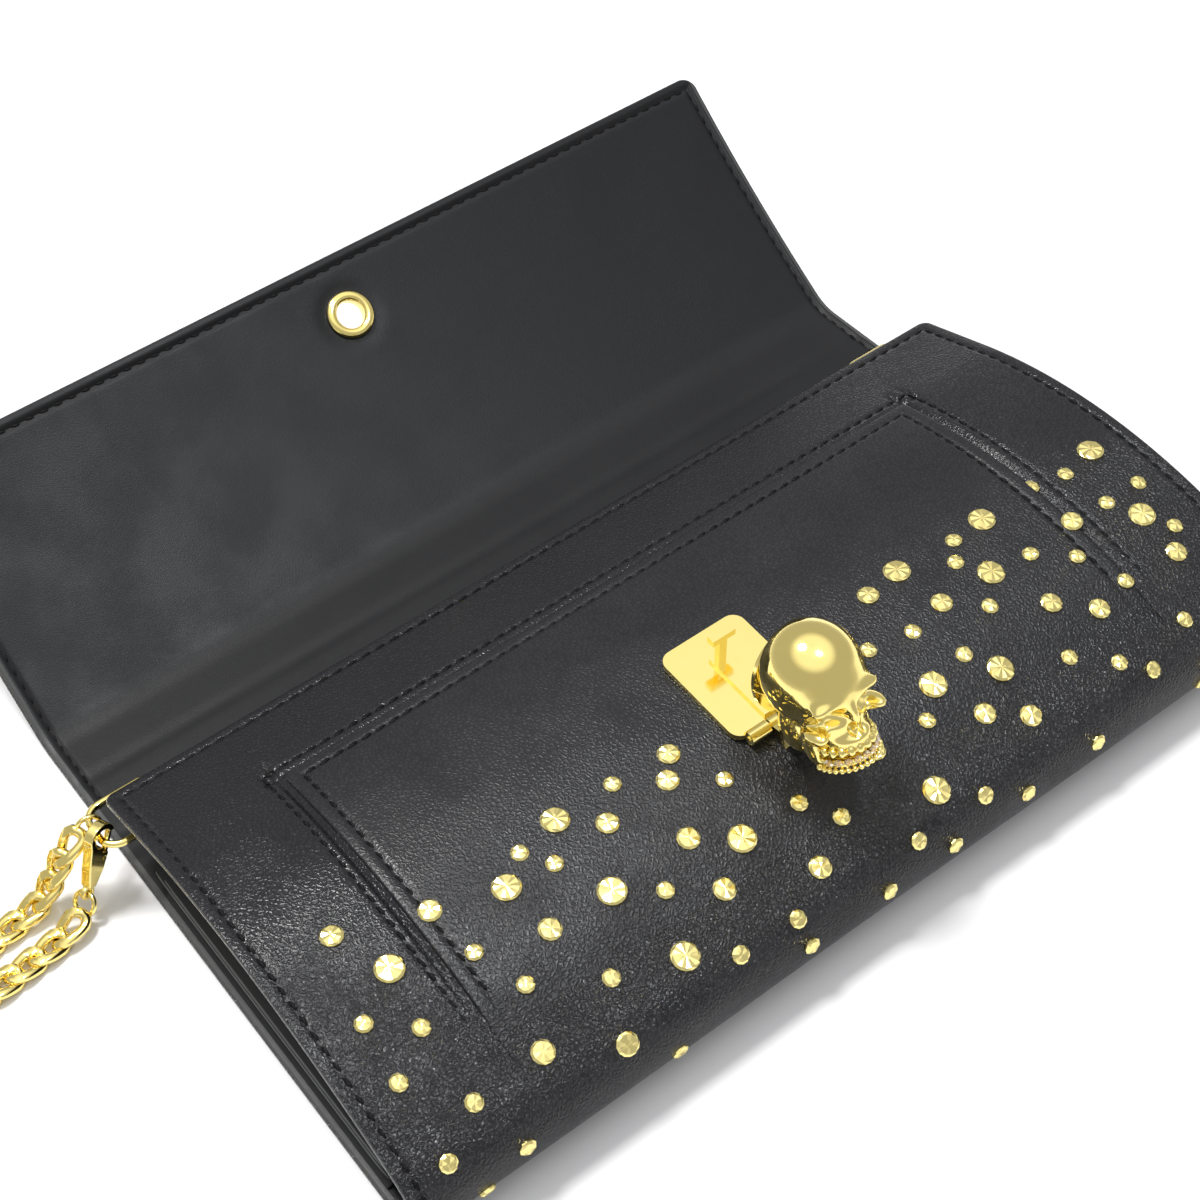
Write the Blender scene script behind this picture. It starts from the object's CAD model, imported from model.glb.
import math
from itertools import product

import bpy
import numpy as np
from mathutils import Matrix, Vector


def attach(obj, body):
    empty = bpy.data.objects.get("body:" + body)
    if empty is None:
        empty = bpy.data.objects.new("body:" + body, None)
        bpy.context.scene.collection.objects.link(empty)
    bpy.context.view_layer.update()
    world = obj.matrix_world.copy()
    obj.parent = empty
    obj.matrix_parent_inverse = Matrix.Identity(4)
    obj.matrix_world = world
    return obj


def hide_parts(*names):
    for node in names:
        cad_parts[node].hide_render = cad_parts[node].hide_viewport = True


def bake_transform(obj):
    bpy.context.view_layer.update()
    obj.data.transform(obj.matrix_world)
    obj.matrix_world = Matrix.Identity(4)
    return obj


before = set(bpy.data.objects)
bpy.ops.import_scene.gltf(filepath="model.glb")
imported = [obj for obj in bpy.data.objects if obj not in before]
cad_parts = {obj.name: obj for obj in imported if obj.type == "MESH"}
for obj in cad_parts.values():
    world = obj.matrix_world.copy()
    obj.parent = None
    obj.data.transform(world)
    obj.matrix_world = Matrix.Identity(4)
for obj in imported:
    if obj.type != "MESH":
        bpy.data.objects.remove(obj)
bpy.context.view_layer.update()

# Everything below is drawn in millimetres in the wallet's working frame: X along
# the wallet, Y = 0 at the top edge of the front, Z = 0 on the table.
HOME = np.array([2.2, 10.4, 0.0])
MM = 0.001
random = np.random.default_rng(7)


def metres(points):
    return (np.asarray(points, float).reshape(-1, 3) + HOME) * MM


# ---- Camera, at the photograph's viewpoint
camera_data = bpy.data.cameras.new("camera")
camera_data.lens = 64.65
camera_data.sensor_width = 36
camera_data.shift_x = 0.0135
camera_data.shift_y = -0.0053
camera_data.clip_start = 0.01
camera_data.clip_end = 20
camera = bpy.data.objects.new("camera", camera_data)
bpy.context.scene.collection.objects.link(camera)
camera.location = metres([-147.87, -238.0, 307.1])[0]
camera.rotation_euler = [math.radians(a) for a in (42.3, 3.54, -36.89)]
bpy.context.scene.camera = camera


# ---- Materials
def material(name, **settings):
    """A principled material and its tree; settings name the shader's own sockets."""
    made = bpy.data.materials.new(name)
    made.use_nodes = True
    shader = made.node_tree.nodes["Principled BSDF"]
    for key, value in settings.items():
        shader.inputs[key.replace("_", " ")].default_value = value
    return made, made.node_tree, shader


def add(tree, kind, settings=(), **inputs):
    """A node with its properties and inputs set; an input that is a socket is linked."""
    made = tree.nodes.new(kind)
    for key, value in dict(settings).items():
        setattr(made, key, value)
    for key, value in inputs.items():
        socket = made.inputs[int(key[1:]) if key[1:].isdigit() else key]
        if isinstance(value, bpy.types.NodeSocket):
            tree.links.new(value, socket)
        else:
            socket.default_value = value
    return made


def coordinates(tree, source, stretch=(1, 1, 1)):
    where = add(tree, "ShaderNodeTexCoord")
    return add(tree, "ShaderNodeMapping", Vector=where.outputs[source],
               Scale=stretch).outputs["Vector"]


def ramp(tree, value, low, high, start, end):
    """Smooth step of a value: start at `low` to end at `high`."""
    return add(tree, "ShaderNodeMapRange", {"interpolation_type": "SMOOTHSTEP"},
               Value=value, i1=low, i2=high, i3=start, i4=end).outputs["Result"]


def maths(tree, operation, a, b):
    return add(tree, "ShaderNodeMath", {"operation": operation},
               i0=a, i1=b).outputs["Value"]


def tint(tree, value, dark, light):
    mix = add(tree, "ShaderNodeMix", {"data_type": "RGBA"}, i0=value, i6=dark, i7=light)
    return mix.outputs[2]


def grain_leather(name, dark, light, rough, pebble, depth, source="UV", wrinkle=0.0,
                  shallow=1.0, edge=None, gloss=0.3):
    """Leather with pebbled grain: cells about `pebble` mm across, `depth` mm deep.
    `shallow` is the share of that depth near a panel's top edge, and past `edge` mm
    from the middle the colour turns to that of a burnished edge."""
    made, tree, shader = material(name, Specular_IOR_Level=gloss, Coat_Weight=0.05,
                                  Coat_Roughness=0.25)
    unit = 100.0 if source == "UV" else 1000.0
    at = coordinates(tree, source)
    warp = add(tree, "ShaderNodeTexNoise", Vector=at, Scale=unit / 3.1, Detail=3.0)
    moved = add(
        tree, "ShaderNodeVectorMath", {"operation": "MULTIPLY_ADD"},
        i0=warp.outputs["Color"], i1=[pebble * 1.1 / unit] * 3, i2=at,
    ).outputs["Vector"]
    cells = add(tree, "ShaderNodeTexVoronoi", {"feature": "DISTANCE_TO_EDGE"},
                Vector=moved, Scale=unit / pebble)
    tops = ramp(tree, cells.outputs["Distance"], 0.0, 0.32, 0.0, 1.0)
    small = add(tree, "ShaderNodeTexVoronoi", {"feature": "DISTANCE_TO_EDGE"},
                Vector=moved, Scale=unit / pebble * 2.3)
    fine = ramp(tree, small.outputs["Distance"], 0.0, 0.3, 0.0, 0.35)
    pores = add(tree, "ShaderNodeTexNoise", Vector=at, Scale=unit / 0.35, Detail=4.0)
    broad = add(tree, "ShaderNodeTexNoise", Vector=at, Scale=unit / 16.0, Detail=3.0)
    height = maths(tree, "ADD", maths(tree, "ADD", tops, fine),
                   maths(tree, "MULTIPLY", pores.outputs["Fac"], 0.35))
    height = maths(tree, "MULTIPLY", height,
                   ramp(tree, broad.outputs["Fac"], 0.3, 0.7, 0.55, 1.0))
    if wrinkle:
        folds = add(tree, "ShaderNodeTexNoise", Vector=coordinates(
            tree, source, (1.0, 0.28, 1.0)), Scale=unit / 2.4, Detail=5.0, Distortion=0.6)
        height = maths(tree, "ADD", height,
                       maths(tree, "MULTIPLY", folds.outputs["Fac"], wrinkle))
    place = add(tree, "ShaderNodeSeparateXYZ", Vector=at)
    if shallow < 1:
        height = maths(tree, "MULTIPLY", height,
                       ramp(tree, place.outputs["X"], 0.40, 0.78, shallow, 1.0))
    bump = add(tree, "ShaderNodeBump", Strength=1.0, Distance=depth * MM, Height=height)
    tree.links.new(bump.outputs["Normal"], shader.inputs["Normal"])
    tree.links.new(bump.outputs["Normal"], shader.inputs["Coat Normal"])
    wear = ramp(tree, broad.outputs["Fac"], 0.35, 0.65, rough - 0.04, rough + 0.05)
    color = tint(tree, tops, dark, light)
    if edge:
        rim = ramp(tree, maths(tree, "ABSOLUTE", place.outputs["Y"], 0.0),
                   (edge - 0.25) / 100, edge / 100, 0.0, 1.0)
        color = tint(tree, rim, color, (0.07, 0.072, 0.072, 1))
        wear = maths(tree, "SUBTRACT", wear, maths(tree, "MULTIPLY", rim, 0.12))
    tree.links.new(color, shader.inputs["Base Color"])
    tree.links.new(wear, shader.inputs["Roughness"])
    return made


def metal(name, color, rough, scratch=0.004, deep=None):
    """Polished plated metal with faint handling marks."""
    made, tree, shader = material(name, Metallic=1.0)
    at = coordinates(tree, "Object")
    cloud = add(tree, "ShaderNodeTexNoise", Vector=at, Scale=260.0, Detail=4.0)
    lines = add(tree, "ShaderNodeTexNoise", Vector=coordinates(
        tree, "Object", (1.0, 9.0, 3.0)), Scale=900.0, Detail=3.0)
    tree.links.new(tint(tree, cloud.outputs["Fac"], deep or color, color),
                   shader.inputs["Base Color"])
    tree.links.new(ramp(tree, cloud.outputs["Fac"], 0.35, 0.7, rough, rough + 0.07),
                   shader.inputs["Roughness"])
    bump = add(tree, "ShaderNodeBump", Strength=0.5, Distance=scratch * MM,
               Height=lines.outputs["Fac"])
    tree.links.new(bump.outputs["Normal"], shader.inputs["Normal"])
    return made


def cloth(name, color, rough, pitch):
    """Fine woven tape: two crossed waves, `pitch` mm between threads."""
    made, tree, shader = material(name, Specular_IOR_Level=0.12, Roughness=rough)
    at = coordinates(tree, "Object")
    across = add(tree, "ShaderNodeTexWave", {"bands_direction": "X"}, Vector=at,
                 Scale=1000 / pitch / 6.28, Distortion=0.4)
    along = add(tree, "ShaderNodeTexWave", {"bands_direction": "Y"}, Vector=at,
                Scale=1000 / pitch / 6.28, Distortion=0.4)
    weave = maths(tree, "MULTIPLY", across.outputs["Fac"], along.outputs["Fac"])
    bump = add(tree, "ShaderNodeBump", Strength=0.8, Distance=0.08 * MM, Height=weave)
    tree.links.new(bump.outputs["Normal"], shader.inputs["Normal"])
    tree.links.new(tint(tree, weave, [c * 0.5 for c in color[:3]] + [1], color),
                   shader.inputs["Base Color"])
    return made


BLACK = (0.0165, 0.0168, 0.0195, 1)
OUTER = grain_leather("pebbled_leather", (0.009, 0.009, 0.011, 1), BLACK, 0.19, 0.8,
                      0.14, wrinkle=0.7, shallow=0.3, edge=94.9)
FACING = grain_leather("pocket_leather", (0.009, 0.009, 0.011, 1), BLACK, 0.32, 0.8,
                       0.10, wrinkle=0.6, shallow=0.3)
NAPPA = grain_leather("nappa_lining", (0.010, 0.0104, 0.0115, 1),
                      (0.012, 0.0125, 0.0138, 1), 0.46, 0.42, 0.016, edge=93.9,
                      gloss=0.17)
TRIM = grain_leather("trim_leather", (0.006, 0.006, 0.007, 1), (0.012, 0.012, 0.014, 1),
                     0.38, 0.7, 0.03, source="Object")
THREAD = cloth("thread", (0.006, 0.006, 0.007, 1), 0.5, 0.16)
TAPE = cloth("zip_tape", (0.008, 0.008, 0.009, 1), 0.8, 0.3)
GOLD = metal("polished_gold", (1.0, 0.84, 0.32, 1), 0.06, deep=(0.99, 0.80, 0.27, 1))
STUD_GOLD = metal("stud_gold", (1.0, 0.87, 0.37, 1), 0.13, deep=(0.99, 0.82, 0.30, 1))
CHAIN_GOLD = metal("chain_gold", (1.0, 0.84, 0.33, 1), 0.10, deep=(0.98, 0.76, 0.24, 1))
STEEL = metal("plated_steel", (0.62, 0.61, 0.58, 1), 0.3)


def crystal_material():
    made, tree, shader = material("crystal", Roughness=0.02, IOR=1.7,
                                  Transmission_Weight=0.8)
    cloud = add(tree, "ShaderNodeTexNoise", Vector=coordinates(tree, "Object"),
                Scale=700.0)
    tree.links.new(tint(tree, cloud.outputs["Fac"], (0.93, 0.66, 0.30, 1),
                        (1.0, 0.90, 0.66, 1)), shader.inputs["Base Color"])
    return made


CRYSTAL = crystal_material()


# ---- Meshes
def piece(name, points, faces, look, body=None, stands_for=(), flat=False,
          crease=38, uv=None):
    """A mesh object from points in millimetres, shaded smooth below `crease` degrees."""
    data = bpy.data.meshes.new(name)
    data.from_pydata(metres(points).tolist(), [], [list(map(int, f)) for f in faces])
    data.update()
    if uv is not None:
        layer = data.uv_layers.new(name="UVMap")
        order = np.zeros(len(data.loops), int)
        data.loops.foreach_get("vertex_index", order)
        layer.data.foreach_set("uv", (np.asarray(uv, float) / 100)[order].ravel())
    if not flat:
        data.polygons.foreach_set("use_smooth", [True] * len(data.polygons))
        data.set_sharp_from_angle(angle=math.radians(crease))
    made = bpy.data.objects.new(name, data)
    bpy.context.scene.collection.objects.link(made)
    data.materials.append(look)
    if stands_for:
        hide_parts(*stands_for)
    if body:
        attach(made, body)
    return made


def grid_faces(rows, columns, start=0, around=False):
    """Quads over a grid of points stored row by row."""
    i, j = np.meshgrid(np.arange(rows - 1), np.arange(columns - (not around)), indexing="ij")
    a = start + i * columns + j
    b = start + i * columns + (j + 1) % columns
    return np.stack([a, b, b + columns, a + columns], -1).reshape(-1, 4)


def joined(parts):
    """One list of points and faces from several."""
    points, faces, n = [], [], 0
    for p, f in parts:
        points.append(np.asarray(p, float).reshape(-1, 3))
        faces += [[v + n for v in face] for face in f]
        n += len(points[-1])
    return np.concatenate(points), faces


class Path:
    """A line in a plane with its unit normals, read by distance along it."""

    def __init__(self, points, normals=None):
        points = np.asarray(points, float)
        steps = np.hypot(*np.diff(points, axis=0).T)
        self.s = np.concatenate([[0], np.cumsum(steps)])
        self.p = points
        if normals is None:
            t = np.gradient(points, self.s, axis=0)
            t /= np.linalg.norm(t, axis=1)[:, None]
            normals = np.stack([-t[:, 1], t[:, 0]], 1)
        self.n = np.asarray(normals, float)
        self.length = self.s[-1]

    def at(self, s, d):
        """Points at distances s, d beyond the line along its normal."""
        p = np.stack([np.interp(s, self.s, self.p[:, k]) for k in (0, 1)], -1)
        n = np.stack([np.interp(s, self.s, self.n[:, k]) for k in (0, 1)], -1)
        n /= np.linalg.norm(n, axis=-1)[..., None]
        return p + n * np.asarray(d)[..., None]


def smooth_line(points, per=12):
    """A dense Catmull-Rom line through a few points, in a plane or in space."""
    p = np.asarray(points, float)
    p = np.vstack([2 * p[0] - p[1], p, 2 * p[-1] - p[-2]])
    out = []
    for i in range(1, len(p) - 2):
        for t in np.arange(per) / per:
            out.append(0.5 * (2 * p[i] + (p[i + 1] - p[i - 1]) * t
                       + (2 * p[i - 1] - 5 * p[i] + 4 * p[i + 1] - p[i + 2]) * t**2
                       + (3 * p[i] - p[i - 1] - 3 * p[i + 1] + p[i + 2]) * t**3))
    return np.array(out + [p[-2]])


def stations(low, high, pitch, r, soft, seams=()):
    """Stations from low to high, close together at rounded ends and at seams."""
    bend = r * (1 - np.cos(np.linspace(0, math.pi / 2, 5)))
    a = low + bend if soft[0] else np.array([low])
    b = high - bend[::-1] if soft[1] else np.array([high])
    n = max(2, round((b[0] - a[-1]) / pitch))
    middle = np.linspace(a[-1], b[0], n + 1)[1:-1]
    for line in seams:
        middle = middle[abs(middle - line) > 1.4]
        close = line + np.array([-1.3, -0.9, -0.6, -0.35, 0, 0.35, 0.6, 0.9, 1.3])
        middle = np.append(middle, close[(close > a[-1] + 0.1) & (close < b[0] - 0.1)])
    return np.concatenate([a, np.sort(middle), b])


def slab(path, s, x, d, r=0.5, pitch=1.5, soft=(1, 1, 1, 1), corner=0.0, relief=None,
         place=None, taper=None, seams=((), ())):
    """A sheet of leather on a path: s, x and d are its ends along the path, across it
    and through it. Soft ends are rounded by r, corners by `corner` in plan."""
    r = min(r, (d[1] - d[0]) / 2 - 0.01)
    S = stations(s[0], s[1], pitch, r, soft[:2], seams[0])
    X = stations(x[0], x[1], pitch, r, soft[2:], seams[1])
    ss, xx = np.meshgrid(S, X, indexing="ij")
    far = 1e6
    near = [ss - s[0] if soft[0] else ss * 0 + far, s[1] - ss if soft[1] else ss * 0 + far,
            xx - x[0] if soft[2] else ss * 0 + far, x[1] - xx if soft[3] else ss * 0 + far]
    e = np.minimum.reduce(near)
    if corner:
        for a, b, sa, sb in ((0, 2, 1, 1), (0, 3, 1, -1), (1, 2, -1, 1), (1, 3, -1, -1)):
            ca, cb = np.clip(corner - near[a], 0, None), np.clip(corner - near[b], 0, None)
            both = (ca > 0) & (cb > 0)
            k = np.where(both, np.maximum(ca, cb) / np.maximum(np.hypot(ca, cb), 1e-9), 1)
            ss = ss + sa * np.where(both, ca * (1 - k), 0)
            xx = xx + sb * np.where(both, cb * (1 - k), 0)
    drop = r - np.sqrt(np.clip(r * r - np.clip(r - e, 0, None) ** 2, 0, None))
    rise = 0 if relief is None else relief(ss, xx) * np.clip(e / 1.0, 0, 1)
    high = d[1] - drop + rise
    low = d[0] + drop
    if taper is not None:
        high = np.maximum(low + 0.02, d[0] + (high - d[0]) * taper(ss, xx))
    sheets = []
    for depth in (high, low):
        q = path.at(ss, depth)
        sheets.append(np.stack([xx, q[..., 0], q[..., 1]], -1).reshape(-1, 3))
    rows, columns = ss.shape
    n = rows * columns
    top = grid_faces(rows, columns)
    bottom = grid_faces(rows, columns, n)[:, ::-1]
    rim = np.concatenate([np.arange(columns), np.arange(1, rows) * columns + columns - 1,
                          n - 2 - np.arange(columns - 1),
                          (np.arange(rows - 2, 0, -1)) * columns])
    side = np.stack([rim, np.roll(rim, -1), np.roll(rim, -1) + n, rim + n], 1)[:, ::-1]
    points = np.concatenate(sheets)
    if place is not None:
        points = place(points)
    uv = np.concatenate([np.stack([ss.ravel(), xx.ravel()], 1)] * 2)
    return points, np.concatenate([top, bottom, side]), uv


def leather(name, path, s, x, d, look, slot, body=None, stands_for=(), **shape):
    points, faces, uv = slab(path, s, x, d, **shape)
    return piece(name, points, faces, look, body, stands_for, uv=uv)


def lathe(profile, steps=64):
    """A closed ring from a closed profile of radius and height."""
    a = np.linspace(0, 2 * math.pi, steps, endpoint=False)
    p = np.asarray(profile, float)
    rings = np.stack([np.outer(p[:, 0], np.cos(a)), np.outer(p[:, 0], np.sin(a)),
                      np.outer(p[:, 1], np.ones(steps))], -1)
    rings = np.concatenate([rings, rings[:1]])
    faces = grid_faces(len(rings), steps, around=True)
    last = (len(rings) - 1) * steps
    faces = np.where(faces >= last, faces - last, faces)
    return rings[:-1].reshape(-1, 3), faces


def moved(points, matrix):
    p = np.asarray(points, float)
    m = np.array(matrix)
    return p @ m[:3, :3].T + m[:3, 3]


def turn(angle, axis):
    return Matrix.Rotation(math.radians(angle), 4, axis)


def shift(x, y, z):
    return Matrix.Translation((x, y, z))


# ---- The wallet's outline, from the same dimensions as its CAD source
HALF_W = 95.0
LEATHER, LINING = 1.2, 0.6
SKIN = LEATHER + LINING
LEAD, LEAD_A, MOUTH = 18.0, math.radians(16), 16.7
CROWN_R, FOLD_A = 110.0, math.radians(23)
CREASE_Y, FLAP_Y = 3.1, 17.6
FLAP_FLAT, BEND_R, BEND_A = 8.9, 12.0, math.radians(34)
FLAP_L, SWEEP_R = 55.0, 350.0


def outline():
    """The outer skin in Y and Z: top edge, front, bottom fold, back, spine and flap."""
    step = 0.4
    p = np.array([0.0, MOUTH])
    s = np.arange(0, LEAD, step)
    pts = [p + s[:, None] * [-math.cos(LEAD_A), math.sin(LEAD_A)]]
    nrm = [np.tile([math.sin(LEAD_A), math.cos(LEAD_A)], (len(s), 1))]
    end = p + LEAD * np.array([-math.cos(LEAD_A), math.sin(LEAD_A)])
    centre = end - CROWN_R * np.array([math.sin(LEAD_A), math.cos(LEAD_A)])
    a = np.linspace(LEAD_A, -FOLD_A, 200)
    n = np.stack([np.sin(a), np.cos(a)], 1)
    pts.append(centre + CROWN_R * n)
    nrm.append(n)
    tail = pts[-1][-1]
    fold_r = tail[1] / (1 + math.cos(FOLD_A))
    centre = tail - fold_r * n[-1]
    a = np.linspace(-FOLD_A, -math.pi, 120)[1:]
    n = np.stack([np.sin(a), np.cos(a)], 1)
    pts.append(centre + fold_r * n)
    nrm.append(n)
    fold_y = centre[0]
    y = np.arange(fold_y + step, FLAP_Y + FLAP_FLAT, step)
    pts.append(np.stack([y, y * 0], 1))
    nrm.append(np.tile([0.0, -1.0], (len(y), 1)))
    a = np.linspace(0, BEND_A, 40)
    n = np.stack([np.sin(a), -np.cos(a)], 1)
    pts.append(np.array([FLAP_Y + FLAP_FLAT, BEND_R]) + BEND_R * n)
    nrm.append(n)
    a = np.linspace(BEND_A, BEND_A + FLAP_L / SWEEP_R, 80)[1:]
    m = np.stack([np.sin(a), -np.cos(a)], 1)
    pts.append(pts[-1][-1] + SWEEP_R * (m - n[-1]))
    nrm.append(m)
    pts, nrm = np.concatenate(pts), np.concatenate(nrm)
    return Path(pts, nrm), fold_y


SKIN_PATH, FOLD_Y = outline()
FRONT_L = LEAD + CROWN_R * (LEAD_A + FOLD_A)
FRONT_L += (MOUTH + LEAD * math.sin(LEAD_A) - CROWN_R * math.cos(LEAD_A)
            + CROWN_R * math.cos(FOLD_A)) / (1 + math.cos(FOLD_A)) * (math.pi - FOLD_A)


def along_back(y):
    """Distance down the outer skin to a place y on the flat back."""
    return FRONT_L + y - FOLD_Y


def front_place(s, d=0.0, x=0.0):
    """Frame on the front: local Y points to the mouth, local Z outwards."""
    p = SKIN_PATH.at(np.array([s]), np.array([d]))[0]
    n = SKIN_PATH.at(np.array([s]), np.array([1.0]))[0] - SKIN_PATH.at(
        np.array([s]), np.array([0.0]))[0]
    return shift(x, p[0], p[1]) @ Matrix.Rotation(-math.atan2(n[0], n[1]), 4, "X")


# ---- Strap: a curb chain on one smooth line from ring to coil and back
CHAIN_W, CHAIN_T = 5.5, 2.4
ROUTE_UPPER = [[-102.6, -1.5, 12.4], [-106, -1.6, 9.4], [-109, -1.7, 5.4],
               [-113, -1.9, 2.2], [-118, -2.2, 1.3], [-125, -3.2, 1.3],
               [-133, -5, 1.3], [-141, -6.6, 1.3]]
ROUTE_LOWER = [[-109, -9.4, 2.6], [-112, -9.9, 1.4], [-118, -10.8, 1.3],
               [-126, -12, 1.3], [-134, -12.9, 1.3], [-143, -13.4, 1.3],
               [-153, -13.4, 1.3], [-163, -12.2, 1.4], [-172, -8.6, 2.4],
               [-180, -2, 3.4]]
COIL = np.array([-153.0, 28.0])
COIL_IN = 21.7
LOW_LAYER, TOP_LAYER = 1.35, 3.95


def winding(start_r, start_a, turns, z, entry=0.0):
    """Turns wound inwards, clockwise from above; `entry` adds radius that fades away."""
    n = int(turns * 30)
    t = np.linspace(0, 1, n)[1:]
    a = start_a - t * turns * 2 * math.pi
    r = start_r + (COIL_IN - start_r) * t + entry * np.exp(-t * turns * 7)
    return np.stack([COIL[0] + r * np.cos(a), COIL[1] + r * np.sin(a), z + 0 * t], 1)


def strap_line():
    """Upper run, lower layer inwards, a turn back through the middle, upper layer
    outwards and the lower run: the doubled strap wound up on itself."""
    a_low, a_top = math.radians(-70.9), math.radians(-132.0)
    turns_low, turns_top = 2.6, 2.931
    low = winding(36.6, a_low, turns_low, LOW_LAYER)
    top = winding(37.4, a_top, turns_top, TOP_LAYER, entry=3.0)
    end_a = a_low - turns_low * 2 * math.pi
    half = COIL_IN / 2
    out = np.array([math.cos(end_a), math.sin(end_a)])
    side = np.array([-out[1], out[0]])
    t = np.linspace(0, math.pi, 16)[1:]
    first = COIL + half * out + half * (np.outer(np.cos(t), out) - np.outer(np.sin(t), side))
    second = COIL - half * out + half * (np.outer(np.cos(t), out) + np.outer(np.sin(t), side))
    rise = np.linspace(0, 1, 15)
    rise = LOW_LAYER + (TOP_LAYER - LOW_LAYER) * rise * rise * (3 - 2 * rise)
    back = np.concatenate([
        np.column_stack([first, np.full(len(first), LOW_LAYER)]),
        np.column_stack([second, rise])])
    rough = np.concatenate([ROUTE_UPPER, low, back[:-1], top[::-1], ROUTE_LOWER[::-1]])
    dense = smooth_line(rough, 6)
    for _ in range(9):
        dense[1:-1] = (dense[:-2] + 2 * dense[1:-1] + dense[2:]) / 4
    return dense


STRAP = strap_line()
STRAP_S = np.concatenate([[0], np.cumsum(np.linalg.norm(np.diff(STRAP, axis=0), axis=1))])
LINK_PITCH, LINK_END = 4.75, 1.2
LINK_A, LINK_B, LINK_H, LINK_WIRE = 3.36, 1.8, 0.78, 1.95
FLOOR_GAP = 0.02


def chain_mesh():
    """Twisted oval links, each through the next."""
    count = round((STRAP_S[-1] - 2 * LINK_END) / LINK_PITCH)
    t = np.linspace(0, 2 * math.pi, 26, endpoint=False)
    loop = np.stack([LINK_A * np.sign(np.cos(t)) * abs(np.cos(t)) ** 0.85,
                     LINK_B * np.sin(t), LINK_H * np.sin(2 * t)], 1)
    along = np.roll(loop, -1, 0) - np.roll(loop, 1, 0)
    along /= np.linalg.norm(along, axis=1)[:, None]
    outer = loop * [1, 1, 0]
    outer /= np.linalg.norm(outer, axis=1)[:, None]
    up = np.cross(along, outer)
    up /= np.linalg.norm(up, axis=1)[:, None]
    outer = np.cross(up, along)
    k = np.linspace(0, 2 * math.pi, 10, endpoint=False)
    ring = (loop[:, None] + LINK_WIRE / 2 * (np.cos(k)[None, :, None] * outer[:, None]
            + 0.92 * np.sin(k)[None, :, None] * up[:, None])).reshape(-1, 3)
    ring[:, 2] = np.clip(ring[:, 2], -CHAIN_T / 2 + 0.02, CHAIN_T / 2 - 0.02)
    faces = grid_faces(27, 10, around=True)
    faces = np.where(faces >= len(ring), faces - len(ring), faces)
    parts = []
    for s in np.linspace(LINK_END, STRAP_S[-1] - LINK_END, count + 1):
        p, a, b = (np.array([np.interp(v, STRAP_S, STRAP[:, c]) for c in range(3)])
                   for v in (s, s - 1.5, s + 1.5))
        x = (b - a) / np.linalg.norm(b - a)
        y = np.cross([0, 0, 1], x)
        y /= np.linalg.norm(y)
        parts.append((p + ring @ np.stack([x, y, np.cross(x, y)]), faces))
    points, faces = joined(parts)
    points[:, 2] = np.maximum(points[:, 2], FLOOR_GAP)
    return points, faces


chain_points, chain_faces = chain_mesh()
chain = piece("strap_chain", chain_points, chain_faces, CHAIN_GOLD,
              "wallet", ("chain_run_upper", "chain_run_lower", "chain_coil"), crease=50)

TIE_X = COIL[0]
tie_line = smooth_line([[48.9, -0.1 + 0.45], [48.6, 2.6], [49.2, 5.1], [51.5, 5.85],
                        [58, 5.95], [64.5, 5.85], [66.8, 5.1], [67.4, 2.6],
                        [67.1, 0.45]], 8)
tie = leather("strap_tie", Path(tie_line), (0, Path(tie_line).length),
              (TIE_X - 3, TIE_X + 3), (-0.35, 0.35), TRIM, "trim_leather", "wallet",
              ("coil_tie",), r=0.3, pitch=0.9, corner=0.6)
snap = lathe([[0.05, 0], [2.2, 0], [2.45, 0.25], [2.3, 0.6], [1.7, 0.85], [1.3, 0.8],
              [0.9, 0.95], [0.05, 1.0]], 40)
piece("strap_tie_snap", moved(snap[0], shift(TIE_X, 58, 6.2)), snap[1], GOLD,
      "wallet")


# ---- Outer skin in three pieces, so that it bends at the flap's two creases
WALLET_END = along_back(-4.0)
SPINE_MID = along_back((CREASE_Y + FLAP_Y) / 2)
FLAP_END = SKIN_PATH.length
POCKET_S, POCKET_X, POCKET_IN, FACING_T = 21.5, 70.0, 2.7, 0.8
EDGE_IN = 2.5
X_IN = HALF_W - EDGE_IN


def crease_dent(s, x):
    """The skin thins a little along the two creases."""
    d = 0
    for y in (CREASE_Y, FLAP_Y):
        d = d - 0.22 * np.exp(-((s - along_back(y)) / 1.3) ** 2)
    return d


def channel(distance, depth, width=0.5):
    return -depth * np.exp(-(distance / width) ** 2)


RIM_X, RIM_S = (-72.6, 73.6), 18.4


def front_relief(s, x):
    """Soft waves of the hide, channels under the seams and the pocket's rim."""
    wave = 0.10 * np.sin(x / 17 + 1.3 * np.sin(s / 23)) * np.sin(s / 14 + 0.7)
    edge = channel(np.minimum(HALF_W - np.abs(x), s) - EDGE_IN, 0.26)
    fade = np.clip((84 - s) / 14, 0, 1) * (s > RIM_S - 2)
    rim = np.minimum(channel(x - RIM_X[0], 0.26), channel(x - RIM_X[1], 0.26))
    rim = rim + channel(np.abs(x) - POCKET_X - 0.9, 0.55, 0.7)
    within = (x > RIM_X[0] - 0.8) & (x < RIM_X[1] + 0.8)
    top = channel(s - RIM_S, 0.26) + channel(s - POCKET_S + 0.7, 0.3, 0.6)
    return wave + edge + crease_dent(s, x) + rim * fade + top * within


leather("skin_body", SKIN_PATH, (0, WALLET_END), (-HALF_W, HALF_W), (-LEATHER, 0), OUTER,
        "outer_leather", "wallet", ("front_panel", "back_panel"), r=0.5, pitch=1.15,
        soft=(1, 0, 1, 1), corner=2.0, relief=front_relief,
        seams=((EDGE_IN, RIM_S, POCKET_S - 0.7),
               (-X_IN, RIM_X[0], -POCKET_X - 0.9, POCKET_X + 0.9, RIM_X[1], X_IN)))


def blended(obj):
    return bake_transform(obj)


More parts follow.
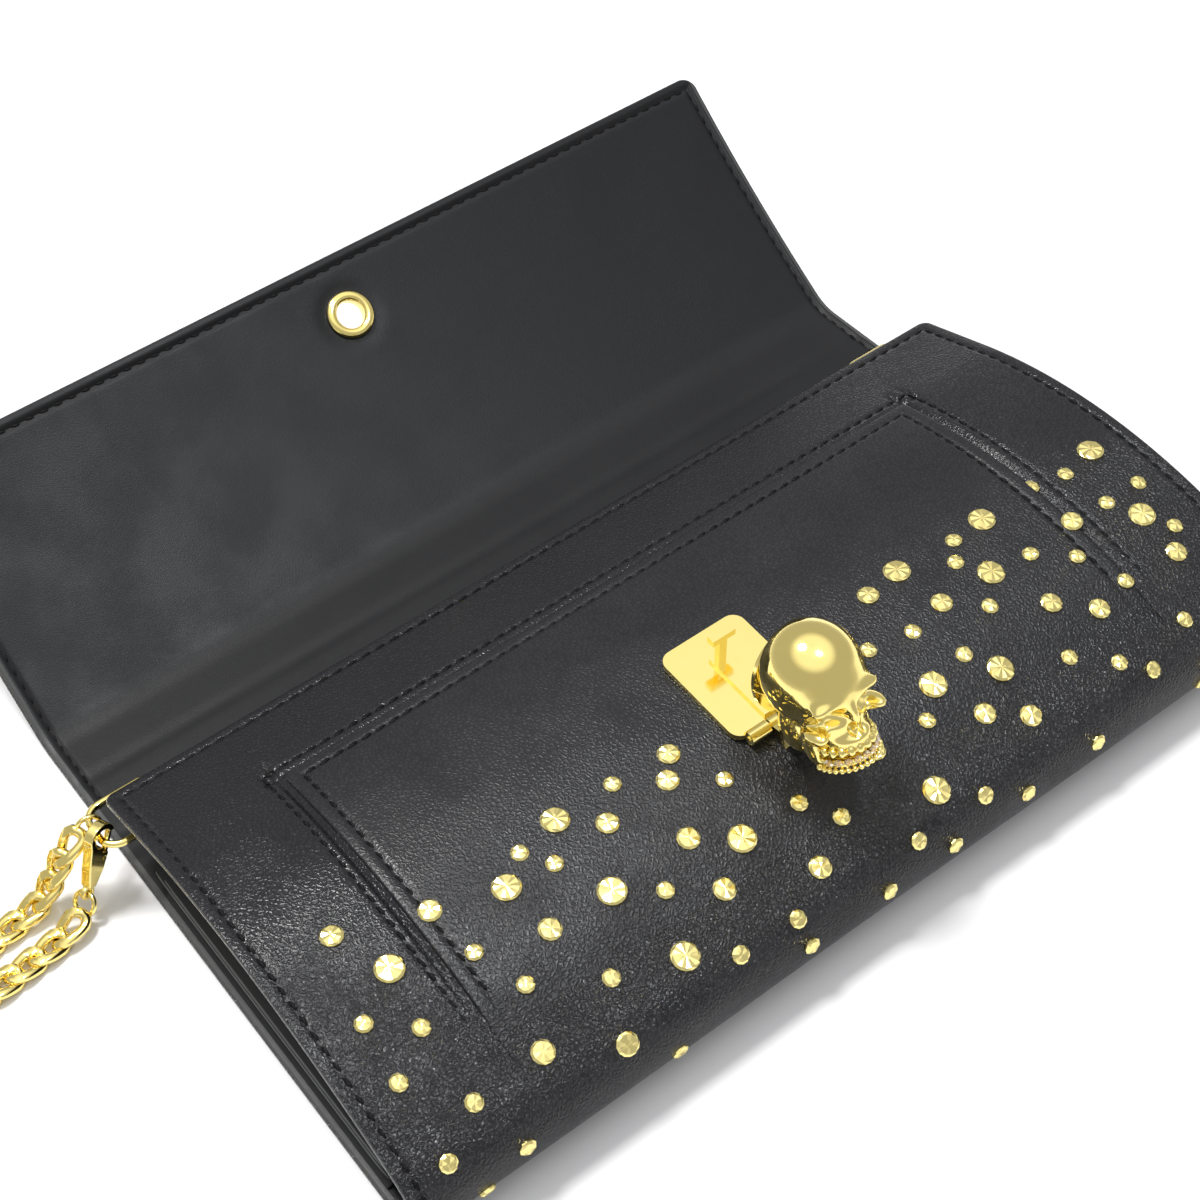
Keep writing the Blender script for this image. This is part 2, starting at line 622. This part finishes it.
skin_spine = leather("skin_spine", SKIN_PATH, (WALLET_END, SPINE_MID), (-HALF_W, HALF_W),
                     (-LEATHER, 0), OUTER, "outer_leather", None, ("spine_leather",),
                     r=0.5, pitch=0.6, soft=(0, 0, 1, 1), relief=crease_dent)
blended(skin_spine)

EYELET_S = along_back(FLAP_Y) + FLAP_FLAT + BEND_R * BEND_A + 42.3
HOLE_R, EYELET_R = 2.9, 4.9


def on_flap(s, d):
    """Frame on the flap, Z out of its lining; d is depth from its outer face."""
    p = SKIN_PATH.at(np.array([s]), np.array([-d]))[0]
    q = SKIN_PATH.at(np.array([s]), np.array([-d - 1.0]))[0]
    return shift(0, p[0], p[1]) @ Matrix.Rotation(math.atan2(-(q - p)[0], (q - p)[1]), 4,
                                                 "X")


def pierced(obj, s):
    """Cuts the eyelet's hole through a flap layer."""
    points, faces = lathe([[0.02, -3], [HOLE_R + 0.55, -3], [HOLE_R + 0.55, 5], [0.02, 5]],
                          64)
    cutter = piece("cutter", moved(points, on_flap(s, 0)), faces, TRIM)
    hole = obj.modifiers.new("hole", "BOOLEAN")
    hole.object = cutter
    hole.operation = "DIFFERENCE"
    hole.solver = "EXACT"
    graph = bpy.context.evaluated_depsgraph_get()
    made = bpy.data.meshes.new_from_object(obj.evaluated_get(graph))
    obj.modifiers.clear()
    old, obj.data = obj.data, made
    obj.data.set_sharp_from_angle(angle=math.radians(38))
    bpy.data.meshes.remove(old)
    bpy.data.objects.remove(cutter)
    return obj


def flap_relief(s, x):
    edge = np.minimum(HALF_W - np.abs(x), FLAP_END - s)
    wave = 0.12 * np.sin(x / 21 + 0.6) * np.sin(s / 17)
    return wave + channel(edge - EDGE_IN, 0.24) + crease_dent(s, x)


def lining_relief(s, x):
    """The lining of the flap: a rolled rim, a seam channel and a dip at the eyelet."""
    edge = np.minimum(HALF_W - np.abs(x), FLAP_END - s)
    rim = channel(edge - EDGE_IN, 0.3) + channel(edge - 1.2, -0.16, 0.8)
    hole = np.hypot(s - EYELET_S, x)
    wave = 0.07 * np.sin(x / 31 + 0.9) * np.sin(s / 23 + 0.4)
    return wave + rim + channel(hole - 5.0, 0.32, 1.6) + crease_dent(s, x)


FLAP_SEAMS = ((FLAP_END - EDGE_IN,), (-X_IN, X_IN))
flap_skin = pierced(leather("skin_flap", SKIN_PATH, (SPINE_MID, FLAP_END),
                            (-HALF_W, HALF_W), (-LEATHER, 0), OUTER, "outer_leather",
                            None, ("flap_leather", "flap_stiffener"), r=0.5, pitch=1.2,
                            soft=(0, 1, 1, 1), corner=3.0, relief=flap_relief,
                            seams=FLAP_SEAMS), EYELET_S)
blended(flap_skin)
LINING_X = HALF_W - 0.25
INNER = Path(SKIN_PATH.p, -SKIN_PATH.n)
flap_lining = pierced(leather("lining_flap", INNER, (SPINE_MID, FLAP_END - 0.2),
                              (-LINING_X, LINING_X), (LEATHER, SKIN), NAPPA,
                              "lining_leather", None, ("flap_lining",), r=0.3, pitch=1.0,
                              soft=(0, 1, 1, 1), corner=3.0, relief=lining_relief,
                              seams=FLAP_SEAMS), EYELET_S)
blended(flap_lining)
spine_lining = leather("lining_spine", INNER, (WALLET_END, SPINE_MID),
                       (-LINING_X, LINING_X), (LEATHER, SKIN), NAPPA, "lining_leather",
                       None, ("spine_lining",), r=0.3, pitch=0.6, soft=(0, 0, 1, 1),
                       relief=crease_dent)
blended(spine_lining)
leather("lining_body", INNER, (0.4, WALLET_END), (-LINING_X, LINING_X), (LEATHER, SKIN),
        NAPPA, "lining_leather", "wallet", ("front_lining", "back_lining"), r=0.29,
        pitch=1.6, soft=(1, 0, 1, 1), corner=2.0)


# ---- Slip pocket: a raised facing that dies away into the front below
def facing_taper(s, x):
    low = np.clip((89 - s) / 13, 0, 1)
    low = low * low * (3 - 2 * low)
    return 0.02 + 0.98 * low


def facing_relief(s, x):
    wave = 0.09 * np.sin(x / 15 + 2.1) * np.sin(s / 12)
    edge = np.minimum(POCKET_X - np.abs(x), s - POCKET_S)
    return wave + channel(edge - POCKET_IN, 0.26)


leather("pocket_facing", SKIN_PATH, (POCKET_S, 90.0), (-POCKET_X, POCKET_X),
        (-0.25, FACING_T), FACING, "outer_leather", "wallet", ("slip_pocket_facing",),
        r=0.45, pitch=1.15, soft=(1, 0, 1, 1), corner=1.5, relief=facing_relief,
        taper=facing_taper,
        seams=((POCKET_S + POCKET_IN,), (-POCKET_X + POCKET_IN, POCKET_X - POCKET_IN)))


def facing_height(s, x):
    """Height of the visible surface above the front's outer face."""
    inside = (abs(x) < POCKET_X) & (s > POCKET_S) & (s < 90)
    return float(inside) * max(0.0, (FACING_T + 0.25) * float(facing_taper(s, x)) - 0.25)


# ---- Seams: short sunk stitches along lines on the skin
STITCH_SIDES = 6


def stitch_row(path, line, depth, pitch=3.0, size=(2.1, 0.62, 0.42)):
    """Stitches along a line of (s, x) places on a path, `depth` beyond it."""
    line = np.asarray(line, float)
    run = np.concatenate([[0], np.cumsum(np.linalg.norm(np.diff(line, axis=0), axis=1))])
    count = max(1, int(run[-1] / pitch))
    k = np.linspace(0, 2 * math.pi, STITCH_SIDES, endpoint=False)
    prof = np.array([[-0.5, 0.25], [-0.34, 0.85], [0, 1.0], [0.34, 0.85], [0.5, 0.25]])
    last = STITCH_SIDES * (len(prof) - 1)
    parts = []
    for i in range(count):
        s = (i + 0.5) * run[-1] / count
        ends = [np.array([np.interp(v, run, line[:, c]) for c in (0, 1)])
                for v in (s - size[0] / 2, s + size[0] / 2)]
        lean = 0.14 * size[0]
        along = ends[1] - ends[0]
        along /= np.linalg.norm(along) + 1e-9
        side = np.array([-along[1], along[0]])
        ends = [ends[0] - side * lean / 2, ends[1] + side * lean / 2]
        rows = []
        for u, w in prof:
            place = ends[0] * (0.5 - u) + ends[1] * (0.5 + u)
            for a in k:
                q = place + side * size[1] / 2 * w * math.cos(a)
                rows.append([q[0], q[1], depth - 0.16 * abs(2 * u) ** 2
                             + size[2] / 2 * w * math.sin(a)])
        rows = np.array(rows)
        q = path.at(rows[:, 0], rows[:, 2])
        pts = np.stack([rows[:, 1], q[:, 0], q[:, 1]], 1)
        f = grid_faces(len(prof), STITCH_SIDES, around=True).tolist()
        parts.append((pts, f + [list(range(STITCH_SIDES))[::-1],
                                list(range(last, last + STITCH_SIDES))]))
    return parts


def seam(name, path, lines, depth, body=None, **kind):
    parts = []
    for line in lines:
        parts += stitch_row(path, line, depth, **kind)
    points, faces = joined(parts)
    return piece(name, points, faces, THREAD, body, crease=70)


seam("seam_front", SKIN_PATH, [
    [(along_back(-40), -X_IN), (EDGE_IN, -X_IN)],
    [(EDGE_IN, -X_IN), (EDGE_IN, X_IN)],
    [(EDGE_IN, X_IN), (along_back(-40), X_IN)],
    [(along_back(-4.2), -X_IN), (along_back(-40), -X_IN)],
    [(along_back(-4.2), X_IN), (along_back(-40), X_IN)]], -0.12, "wallet")
seam("seam_pocket_rim", SKIN_PATH, [
    [(80.5, RIM_X[0]), (RIM_S, RIM_X[0])], [(RIM_S, RIM_X[0]), (RIM_S, RIM_X[1])],
    [(RIM_S, RIM_X[1]), (80.5, RIM_X[1])]], -0.12, "wallet", pitch=2.8)
row_s, row_x = POCKET_S + POCKET_IN, POCKET_X - POCKET_IN
seam("seam_pocket_facing", SKIN_PATH, [
    [(78, -row_x), (row_s, -row_x)], [(row_s, -row_x), (row_s, row_x)],
    [(row_s, row_x), (78, row_x)]], FACING_T - 0.12, "wallet", pitch=2.8)
for name, path, depth in (("outside", SKIN_PATH, -0.10), ("inside", INNER, SKIN - 0.22)):
    end = FLAP_END - EDGE_IN
    obj = seam("seam_flap_" + name, path, [
        [(SPINE_MID + 0.4, -X_IN), (end - 1.5, -X_IN), (end, -X_IN + 1.5), (end, X_IN - 1.5),
         (end - 1.5, X_IN), (SPINE_MID + 0.4, X_IN)]], depth)
    blended(obj)
    obj = seam("seam_spine_" + name, path, [
        [(WALLET_END + 0.4, side * X_IN), (SPINE_MID - 0.4, side * X_IN)]
        for side in (-1, 1)], depth)
    blended(obj)


# ---- Eyelet: a rolled ring through the flap and its washer behind
ROLL = [[HOLE_R, -0.5], [HOLE_R, 0.25], [HOLE_R + 0.18, 0.62], [HOLE_R + 0.6, 0.85],
        [HOLE_R + 1.15, 0.86], [HOLE_R + 1.65, 0.66], [EYELET_R, 0.3], [EYELET_R, 0.02],
        [EYELET_R - 0.5, -0.03], [HOLE_R + 0.6, -0.05], [HOLE_R + 0.6, -1.7],
        [HOLE_R, -1.9]]
points, faces = lathe(ROLL, 96)
piece("eyelet_ring", moved(points, on_flap(EYELET_S, SKIN)), faces, GOLD,
      "flap", ("eyelet",), crease=50)
WASHER = [[HOLE_R, 0.05], [HOLE_R + 0.2, -0.22], [HOLE_R + 0.9, -0.36],
          [EYELET_R - 0.5, -0.24], [EYELET_R - 0.3, -0.02], [EYELET_R - 0.3, 0.05],
          [HOLE_R + 0.55, 0.15]]
points, faces = lathe(WASHER, 96)
piece("eyelet_back", moved(points, on_flap(EYELET_S, 0)), faces, GOLD,
      "flap", ("eyelet_washer",), crease=50)


# ---- Studs: the same scatter as the CAD's, with faceted heads
STUD_MAP = [
    "..m...........................m.L..s.L..s.s.L.",
    "......m...s.L..s..m...............s...........",
    "...L.....L.s..m..m..........s.s.m..L.s..m.s.s.",
    ".s....s............s..............s....s...L..",
    "...s.....m..L...m............L.s....m.......s.",
    ".s.....s......s...L..s...m..s...L.....m.s..m..",
    "..........s.....m.....s.......m....s..........",
    "...s..m......L......m.....L.....m....s...s....",
    ".s.......m.....s..s.....s...s.........s.....m.",
    "....s.............s...s...s...s...s......s....",
    "..s........s.............................s...."]
STUD_D = {"s": 3.1, "m": 4.0, "L": 5.0}
STUD_START, STUD_STEP = (56, -90), (5, 4)


def shake(i, j):
    return 0.8 * math.sin(math.radians(97 * i + 211 * j))


def stud_head(d, sides):
    """A nail head: a chamfered disc cut into a star of facets about its centre."""
    n = 2 * sides
    a = 2 * math.pi * np.arange(n) / n
    ridge = np.where(np.arange(n) % 2, 0.0, 0.13)
    rings = [(d / 2 - 0.1, -0.3 + 0 * a), (d / 2, 0 * a), (d / 2, 0.28 + 0 * a),
             (d / 2 - 0.38, 0.52 + ridge), (d * 0.16, 0.66 + ridge * 0.5)]
    points = np.concatenate([np.stack([r * np.cos(a), r * np.sin(a), z], 1)
                             for r, z in rings] + [[[0, 0, 0.70]]])
    faces = []
    for k in range(4):
        for i in range(n):
            p, q = k * n + i, k * n + (i + 1) % n
            if k < 2:
                faces.append([p, q, q + n, p + n])
            else:
                faces += [[p, q, p + n], [q, q + n, p + n]]
    faces += [[4 * n + i, 4 * n + (i + 1) % n, 5 * n] for i in range(n)]
    faces.append(list(range(n - 1, -1, -1)))
    return points, faces


def stud_group(name, letter, sides, node):
    parts = []
    for j, row in enumerate(STUD_MAP):
        for i, mark in enumerate(row):
            if mark != letter:
                continue
            s = STUD_START[0] + STUD_STEP[0] * j + shake(i, j)
            x = STUD_START[1] + STUD_STEP[1] * i + shake(j, i)
            points, faces = stud_head(STUD_D[letter], sides)
            tilt = turn(random.uniform(0, 360), "Z") @ turn(random.uniform(-5, 5), "X")
            place = front_place(s, facing_height(s, x) - 0.04, x) @ tilt
            parts.append((moved(points, place), faces))
    points, faces = joined(parts)
    return piece(name, points, faces, STUD_GOLD, "wallet", (node,),
                 flat=True)


stud_group("studs_small_heads", "s", 5, "studs_small")
stud_group("studs_medium_heads", "m", 6, "studs_medium")
stud_group("studs_large_heads", "L", 8, "studs_large")


# ---- Tabs that hold the D-rings
BAR_X, RING_Z, TAB_Y = 86.5, 13.9, (-6.4, -2.4)


def tab_line():
    a = np.radians(np.linspace(232, 232 - 255 - 50, 26))
    loop = np.stack([1.18 * np.cos(a), RING_Z + 1.18 * np.sin(a)], 1)
    low = [[-7.5, 11.3], [-5.5, 11.3], [-3.4, 11.35], [-1.9, 11.9]]
    high = [[-1.75, 12.62], [-3.3, 12.08], [-5.5, 12.0], [-7.5, 12.0]]
    line = np.concatenate([smooth_line(low + [loop[0].tolist()], 5)[:-1], loop,
                           smooth_line([loop[-1].tolist()] + high, 5)[1:]])
    return Path(line)


def ring_tab(name, side, node):
    path = tab_line()

    def place(p):
        return np.stack([side * (BAR_X + p[:, 1]), p[:, 0], p[:, 2]], 1)
    return leather(name, path, (0, path.length), TAB_Y, (-0.3, 0.3), TRIM,
                   "trim_leather", "wallet", (node,), r=0.25, pitch=0.4, place=place)


ring_tab("tab_left", -1, "ring_tab_left")
ring_tab("tab_right", 1, "ring_tab_right")


# ---- Skull: a field of rounded masses, turned into a mesh by surface nets
AXIS_Y, AXIS_Z, POST_Y, BACK_Z = -11.65, 1.3, 4.3, 4.9
ORNAMENT = front_place(56.2, 0.8) @ shift(0, AXIS_Y, AXIS_Z) @ turn(75, "X")


def ball(p, centre, radii):
    """Distance to an ellipsoid, near enough close to its surface."""
    q = (p - centre) / radii
    k = np.linalg.norm(q, axis=-1)
    g = np.linalg.norm(q / np.asarray(radii), axis=-1)
    return k * (k - 1) / np.maximum(g, 1e-9)


def blend_in(a, b, k):
    h = np.clip(0.5 + 0.5 * (b - a) / k, 0, 1)
    return b + (a - b) * h - k * h * (1 - h)


def blend_out(a, b, k):
    return -blend_in(-a, b, k)


def block(p, centre, half):
    q = np.abs(p - centre) - half
    return (np.linalg.norm(np.clip(q, 0, None), axis=-1)
            + np.minimum(q.max(axis=-1), 0))


HEAD = np.array([0.0, 17.0, 10.6])
HEAD_TILT = math.radians(14)
# Centre, radii and softness of each ellipsoid added to the dome or taken out of it;
# one side stands for both.
MASSES = (
    ((0, 14.6, 15.0), (5.9, 3.4, 4.4), 2.2),  # forehead
    ((3.6, 14.3, 18.1), (2.9, 0.9, 1.3), 1.4),  # brow
    ((6.0, 9.6, 15.6), (1.7, 1.3, 3.1), 1.2),  # cheekbone
    ((0, 10.0, 13.2), (4.9, 4.4, 5.6), 1.6),  # middle of the face
    ((0, 6.9, 14.4), (4.3, 2.2, 5.2), 1.2),  # upper jaw
    ((5.2, 6.2, 12.2), (0.9, 3.6, 2.0), 1.0),  # side of the jaw
    ((0, 11.6, 18.9), (0.8, 2.2, 1.4), 1.2),  # nose bone
    ((0, 3.3, 13.4), (5.3, 1.5, 5.9), 0.7))  # lower jaw
HOLLOWS = (
    ((8.8, 13.6, 15.2), (1.5, 2.7, 2.8), 1.2),  # temple
    ((5.2, 7.3, 18.6), (1.3, 1.5, 2.2), 0.8),  # under the cheekbone
    ((3.6, 11.9, 20.2), (2.55, 2.15, 4.4), 0.6),  # eye socket
    ((0.8, 8.9, 20.2), (0.8, 1.5, 2.6), 0.35))  # nose opening


def skull_field(p):
    """Distance to a plain skull, its face tilted up, its back cut flat."""
    q = p - HEAD
    c, n = math.cos(HEAD_TILT), math.sin(HEAD_TILT)
    m = HEAD + np.stack([np.abs(q[..., 0]), q[..., 1] * c - q[..., 2] * n,
                         q[..., 1] * n + q[..., 2] * c], -1)
    d = ball(m, (0, 17.0, 10.6), (8.3, 8.6, 8.8))
    for centre, radii, soft in MASSES:
        d = blend_in(d, ball(m, centre, radii), soft)
    d = blend_in(d, ball(p, (0, 5.4, 8.0), (5.3, 6.6, 4.9)), 1.5)
    for centre, radii, soft in HOLLOWS:
        d = blend_out(d, ball(m, centre, radii), soft)
    for i in range(5):
        a = math.radians(9 + 18 * i)
        tooth = (4.7 * math.sin(a), 5.5, 14.0 + 5.2 * math.cos(a))
        d = blend_in(d, ball(m, tooth, (0.72, 1.0, 0.72)), 0.18)
    for i in range(9):
        a = math.radians(5.5 + 11 * i)
        bead = (5.4 * math.sin(a), 2.35, 13.4 + 6.0 * math.cos(a))
        d = blend_in(d, ball(m, bead, (0.5, 0.5, 0.5)), 0.12)
    d = blend_out(d, block(m, (0, 4.5, 17.0), (5.2, 0.25, 3.0)), 0.4)
    d = np.maximum(d, BACK_Z + 0.8 - p[..., 2])
    return np.maximum(d, -block(p, (0, -AXIS_Y + POST_Y, 8), (3.5, 2.9, 3.2)))


def surface_nets(field, low, high, step):
    """A closed mesh of quads where the field is zero."""
    axes = [np.arange(a, b, step) for a, b in zip(low, high)]
    grid = np.stack(np.meshgrid(*axes, indexing="ij"), -1)
    f = field(grid)
    inside = f < 0
    cells = tuple(n - 1 for n in f.shape)
    total, hits = np.zeros(cells + (3,)), np.zeros(cells)
    for axis in range(3):
        others = [k for k in range(3) if k != axis]
        for a, b in product((0, 1), repeat=2):
            lo = [slice(0, -1)] * 3
            lo[others[0]] = slice(a, cells[others[0]] + a)
            lo[others[1]] = slice(b, cells[others[1]] + b)
            hi = list(lo)
            hi[axis] = slice(1, None)
            f0, f1 = f[tuple(lo)], f[tuple(hi)]
            cross = (f0 < 0) != (f1 < 0)
            t = np.where(cross, f0 / np.where(cross, f0 - f1, 1), 0)
            place = np.zeros(cells + (3,))
            place[..., axis] = t
            place[..., others[0]] = a
            place[..., others[1]] = b
            total += place * cross[..., None]
            hits += cross
    used = hits > 0
    index = -np.ones(cells, int)
    index[used] = np.arange(used.sum())
    points = (np.argwhere(used) + total[used] / hits[used][:, None]) * step + low
    faces = []
    for axis in range(3):
        u, v = (axis + 1) % 3, (axis + 2) % 3
        near = [slice(1, -1)] * 3
        near[axis] = slice(0, -1)
        far = list(near)
        far[axis] = slice(1, None)
        a, b = inside[tuple(near)], inside[tuple(far)]
        for first, way in ((a & ~b, 1), (~a & b, -1)):
            at = np.argwhere(first)
            at[:, u] += 1
            at[:, v] += 1
            ring = []
            for du, dv in ((0, 0), (-1, 0), (-1, -1), (0, -1))[::way]:
                q = at.copy()
                q[:, u] += du
                q[:, v] += dv
                ring.append(index[tuple(q.T)])
            faces.append(np.stack(ring, 1))
    return points, np.concatenate(faces).tolist()


points, faces = surface_nets(skull_field, (-9.7, -0.6, 5.0), (9.8, 26.6, 24.5),
                             0.24)
piece("skull", moved(points, ORNAMENT), faces, GOLD, "ornament",
      ("ornament_skull",), crease=75)


def gem(r, sides=8):
    rings = [(0.55 * r, 0.55 * r, 0.5), (r, 0.12 * r, 0.0), (r, -0.1 * r, 0.0),
             (0.5 * r, -0.8 * r, 0.5)]
    points = []
    for q, z, off in rings:
        a = 2 * math.pi * (np.arange(sides) + off) / sides
        points += np.stack([q * np.cos(a), q * np.sin(a), z + 0 * a], 1).tolist()
    faces = [list(range(sides)), list(range(4 * sides - 1, 3 * sides - 1, -1))]
    for k in range(3):
        for i in range(sides):
            a, b = k * sides + i, k * sides + (i + 1) % sides
            faces += [[a, b, a + sides], [b, b + sides, a + sides]]
    return np.array(points), faces


stone, parts = gem(0.72), []
for i in range(-4, 5):
    a = 17 * i
    where = shift(5.25 * math.sin(math.radians(a)), 3.75,
                  13.4 + 5.75 * math.cos(math.radians(a)))
    parts.append((moved(stone[0], where @ turn(a, "Y")), stone[1]))
points, faces = joined(parts)
back = shift(*HEAD) @ Matrix.Rotation(-HEAD_TILT, 4, "X")
points = moved(points, ORNAMENT @ back @ shift(*-HEAD))
piece("skull_crystals", points, faces, CRYSTAL, "ornament",
      ("ornament_crystals",), flat=True)


# ---- Inside: gussets, zipped divider and card slots
DIV_Z = (8.0, 8.6, 10.2, 10.8)


def leaves(name, sheets, look, slot, stands_for, **shape):
    """Flat sheets (half width, y0, y1, z0, z1) as one piece."""
    parts, uvs = [], []
    for x, y0, y1, z0, z1 in sheets:
        path = Path([[y0, z0], [y1, z0]], [[0, 1], [0, 1]])
        points, faces, uv = slab(path, (0, y1 - y0), (-x, x), (0, z1 - z0), **shape)
        parts.append((points, faces.tolist()))
        uvs.append(uv + [y0, 0])
    points, faces = joined(parts)
    return piece(name, points, faces, look, "wallet", stands_for,
                 uv=np.concatenate(uvs))


leaves("divider_rear", [(94.0, -86, -13, DIV_Z[0], DIV_Z[1]),
                        (84.0, -13.5, -3, DIV_Z[0] + 0.02, DIV_Z[1] - 0.02)],
       NAPPA, "lining_leather", ("divider_rear_leaf",), r=0.29, pitch=3.0, corner=1.0)
leaves("divider_front", [(94.0, -86, -17, DIV_Z[2], DIV_Z[3])], NAPPA, "lining_leather",
       ("divider_front_leaf",), r=0.29, pitch=3.0, corner=1.0)
leaves("divider_bind", [(84.0, -5, -3, DIV_Z[1], 9.82)], TRIM, "trim_leather",
       ("divider_binding",), r=0.3, pitch=3.0)
for i in range(4):
    low = SKIN + 0.45 * i
    leaves(f"card_slot_leather_{i + 1}", [(82.0, -84, -16 - 9 * i, low, low + 0.45)],
           NAPPA, "lining_leather", (f"card_slot_{i + 1}",), r=0.22, pitch=3.0, corner=1.0)
leaves("zip_cloth", [(83.0, -19, -11.3, 9.8, 10.18), (83.0, -10.7, -3, 9.8, 10.18)],
       TAPE, "zip_fabric", ("zip_tape",), r=0.15, pitch=4.0)


def under_front(y):
    """Height of the front lining's inner face at a place y."""
    inner = SKIN_PATH.at(SKIN_PATH.s, np.full(len(SKIN_PATH.s), -SKIN - 0.05))
    keep = SKIN_PATH.s < LEAD + CROWN_R * (LEAD_A + FOLD_A)
    return np.interp(y, inner[keep][::-1, 0], inner[keep][::-1, 1])


def gusset(name, side, low, high, node):
    """A pleat folded inwards between two leaves; low and high give its edges' height."""
    fold = smooth_line([[0, 0], [0.12, 0.04], [0.8, 0.36], [1, 0.5], [0.8, 0.64],
                        [0.12, 0.96], [0, 1]], 5)
    flat = Path(np.stack([fold[:, 1] * 12, fold[:, 0] * 6.3], 1))

    def place(p):
        y = p[:, 0]
        share, depth = p[:, 1] / 12, p[:, 2]
        a, b = low(y), high(y)
        return np.stack([side * (93.8 - depth), y, a + 0.3 + (b - a - 0.6)
                         * np.clip(share, 0.0, 1.0)], 1)
    return leather(name, flat, (0, flat.length), (-84, -14), (-0.28, 0.28), NAPPA,
                   "lining_leather", "wallet", (node,), r=0.2, pitch=0.9, place=place)


for word, side in (("left", -1), ("right", 1)):
    gusset("pleat_rear_" + word, side, lambda y: y * 0 + SKIN, lambda y: y * 0 + DIV_Z[0],
           "gusset_rear_" + word)
    gusset("pleat_front_" + word, side, lambda y: y * 0 + DIV_Z[3], under_front,
           "gusset_front_" + word)


def tooth_mesh():
    ring = np.array([[-0.5, -1.6], [0.5, -1.6], [0.5, 1.6], [-0.5, 1.6]])
    rows = [np.column_stack([ring * k, np.full(4, z)])
            for k, z in ((0.98, 0.02), (1.0, 0.2), (1.0, 0.55), (0.7, 0.8))]
    faces = grid_faces(4, 4, around=True).tolist() + [[3, 2, 1, 0], [12, 13, 14, 15]]
    return np.concatenate(rows), faces


tooth = tooth_mesh()
points, faces = joined([(tooth[0] + [x, -11, 10.2], tooth[1])
                        for x in np.arange(-76, 76.1, 2)])
piece("zip_tooth_row", points, faces, GOLD, "wallet", ("zip_teeth",),
      crease=20)


# ---- Metal carried over from the CAD: plating and softened edges
def finish_metal(names, look, width):
    """Plating, and edges softened by `width` mm, on nodes kept from the CAD."""
    for name in names:
        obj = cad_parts[name]
        obj.data.materials.clear()
        obj.data.materials.append(look)
        if width:
            soften = obj.modifiers.new("soften", "BEVEL")
            soften.width = width * MM
            soften.segments = 3
            soften.limit_method = "ANGLE"
            soften.angle_limit = math.radians(38)
            soften.use_clamp_overlap = True


finish_metal(("d_ring_left", "d_ring_right", "jump_ring_fixed", "jump_ring_clasp",
              "lobster_pivot", "hinge_pin"), GOLD, 0)
finish_metal(("lobster_body", "lobster_lever"), GOLD, 0)
for name in ("lobster_body", "lobster_lever"):
    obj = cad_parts[name]
    skin = obj.modifiers.new("cast", "REMESH")
    skin.mode = "VOXEL"
    skin.voxel_size = 0.11 * MM
    skin.use_smooth_shade = True
    round_off = obj.modifiers.new("tumbled", "SMOOTH")
    round_off.factor = 0.8
    round_off.iterations = 8
finish_metal(("clasp_base_plate", "clasp_post", "zip_slider", "zip_pull", "zip_stops"),
             GOLD, 0.22)
finish_metal(("ornament_back", "clasp_prongs"), GOLD, 0.1)
finish_metal(("clasp_backing_plate",), STEEL, 0.1)


# ---- Floor and light
floor_data = bpy.data.meshes.new("floor")
floor_data.from_pydata([(-3, -3, 0), (3, -3, 0), (3, 3, 0), (-3, 3, 0)], [], [[0, 1, 2, 3]])
floor = bpy.data.objects.new("floor", floor_data)
bpy.context.scene.collection.objects.link(floor)
floor_data.materials.append(material("table", Base_Color=(0.86, 0.86, 0.875, 1),
                                     Roughness=0.6, Specular_IOR_Level=0.2)[0])


def lamp(name, where, aim, size, power, color=(1, 1, 1), only_glints=False):
    data = bpy.data.lights.new(name, "AREA")
    data.shape = "ELLIPSE"
    data.size, data.size_y = size
    data.energy = power
    data.color = color
    obj = bpy.data.objects.new(name, data)
    bpy.context.scene.collection.objects.link(obj)
    obj.location = where
    obj.rotation_euler = (Vector(aim) - Vector(where)).to_track_quat("-Z", "Y").to_euler()
    obj.visible_diffuse = not only_glints


lamp("key", (-0.2, 0.45, 1.3), (0, 0, 0), (0.35, 0.35), 16, (1.0, 0.99, 0.97))
lamp("glint", (0.07, -0.17, 0.62), (-0.07, -0.07, 0.02), (0.08, 0.08), 2.2,
     (0.93, 0.96, 1.0), only_glints=True)
world = bpy.data.worlds.new("studio")
bpy.context.scene.world = world
world.use_nodes = True
sky = world.node_tree
height = add(sky, "ShaderNodeSeparateXYZ", Vector=coordinates(sky, "Generated")).outputs["Z"]
light = maths(sky, "ADD", ramp(sky, height, 0.62, 0.86, 0.5, 1.12),
              ramp(sky, height, -0.3, 0.2, 0.35, 0.0))
sky.links.new(light, sky.nodes["Background"].inputs["Strength"])
sky.nodes["Background"].inputs["Color"].default_value = (1, 1, 1, 1)
bpy.context.scene.view_settings.view_transform = "Standard"
